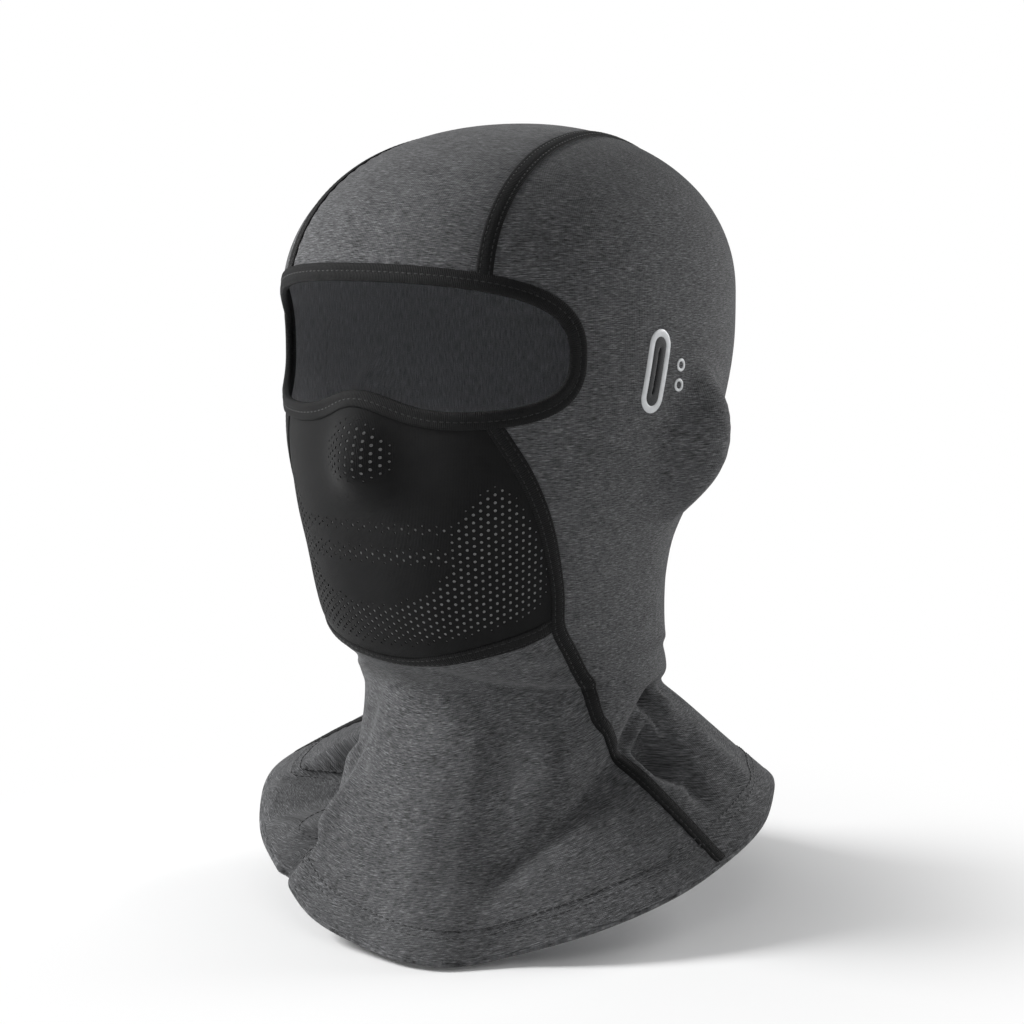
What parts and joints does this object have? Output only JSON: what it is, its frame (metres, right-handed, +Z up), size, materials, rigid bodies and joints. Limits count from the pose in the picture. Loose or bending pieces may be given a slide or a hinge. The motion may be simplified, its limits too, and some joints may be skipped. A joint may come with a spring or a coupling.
{
  "type": "balaclava",
  "caption": "Full-face knitted balaclava with a wide bound eye opening, a perforated face mask, spectacle-arm slots at the temples and a flared neck skirt.",
  "frame": {"origin": "in the middle of the open foot of the skirt, level with the lowest point of the hem and 3 mm behind the neck axis", "axes": "+Z up along the neck, the wearer faces -Y, +X towards the wearer's left"},
  "size_m": [0.2176, 0.2224, 0.3206],
  "materials": {
    "heather_knit": "grey heather jersey knit, matt",
    "black_knit": "smooth black stretch knit, matt",
    "seam_tape": "black flatlock tape",
    "mesh_lining": "pale grey mesh",
    "binding": "black stretch binding",
    "slot_patch": "black bonded film",
    "reflective": "silver-white reflective film",
    "thread": "dark sewing thread"
  },
  "bodies": {
    "skirt": {"skirt_front": "heather_knit", "skirt_side_left": "heather_knit", "skirt_side_right": "heather_knit", "skirt_back": "heather_knit", "neck_seam_left": "seam_tape", "neck_seam_right": "seam_tape", "back_seam_left": "seam_tape", "back_seam_right": "seam_tape", "hem_turn_up": "heather_knit", "hem_thread_upper": "thread", "hem_thread_lower": "thread"},
    "hood": {"crown_panel": "heather_knit", "side_panel_left": "heather_knit", "side_panel_right": "heather_knit", "chin_panel": "heather_knit", "face_mask": "black_knit", "mask_lining": "mesh_lining", "eye_binding": "binding", "crown_seam_left": "seam_tape", "crown_seam_right": "seam_tape", "face_seam_left": "seam_tape", "face_seam_right": "seam_tape", "chin_seam": "seam_tape", "slot_patch_left": "slot_patch", "slot_patch_right": "slot_patch", "slot_ring_left": "reflective", "slot_ring_right": "reflective", "reflective_dots_left": "reflective", "reflective_dots_right": "reflective"}
  },
  "joints": [
    {"name": "neck_turn", "type": "hinge", "parent": "skirt", "child": "hood", "pos_m": [0, -0.003, 0.0905], "axis": [0, 0, 1], "range_deg": [-45, 45]}
  ]
}
